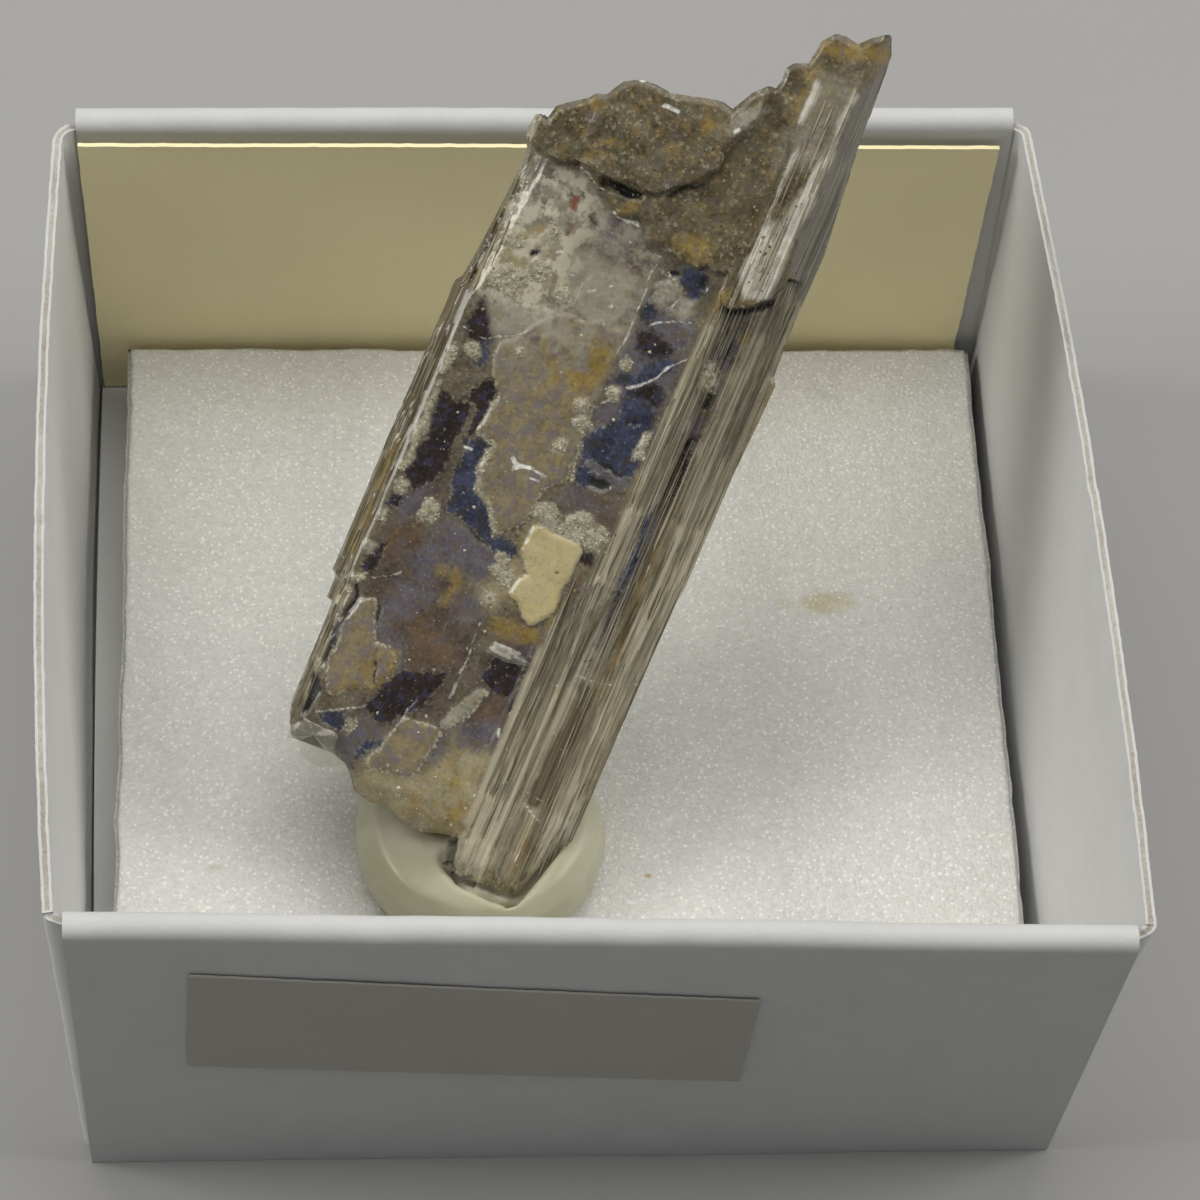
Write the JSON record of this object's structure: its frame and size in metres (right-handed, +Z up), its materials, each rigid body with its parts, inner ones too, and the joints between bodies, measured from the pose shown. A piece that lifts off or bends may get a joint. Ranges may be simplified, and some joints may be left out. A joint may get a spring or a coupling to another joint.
{
  "type": "mica crystal specimen in a card tray",
  "caption": "Long stepped mica crystal standing in putty on a foam pad in a small square open card box, with a blank card behind it and a blank label on the front.",
  "frame": {"origin": "under the middle of the whole object's box in plan, on the surface that the card box stands on", "axes": "+Z up, -Y towards the front wall that carries the label, +X to the right seen from the front"},
  "size_m": [0.0428, 0.041, 0.0299],
  "materials": {
    "mica": "glassy mica sheets, smoky brown with violet-blue, ochre and cream patches",
    "putty": "soft translucent greenish putty, smooth and slightly greasy",
    "foam": "white fine-celled expanded foam with a sparkle",
    "white_card": "matt white-faced card with a grey-brown core at cut edges",
    "cream_paper": "matt cream card stock",
    "label_paper": "matt aged paper label"
  },
  "bodies": {
    "root": {"mica_crystal": "mica", "mounting_putty": "putty", "foam_pad": "foam", "card_box": "white_card", "name_card": "cream_paper", "number_label": "label_paper"}
  },
  "joints": []
}
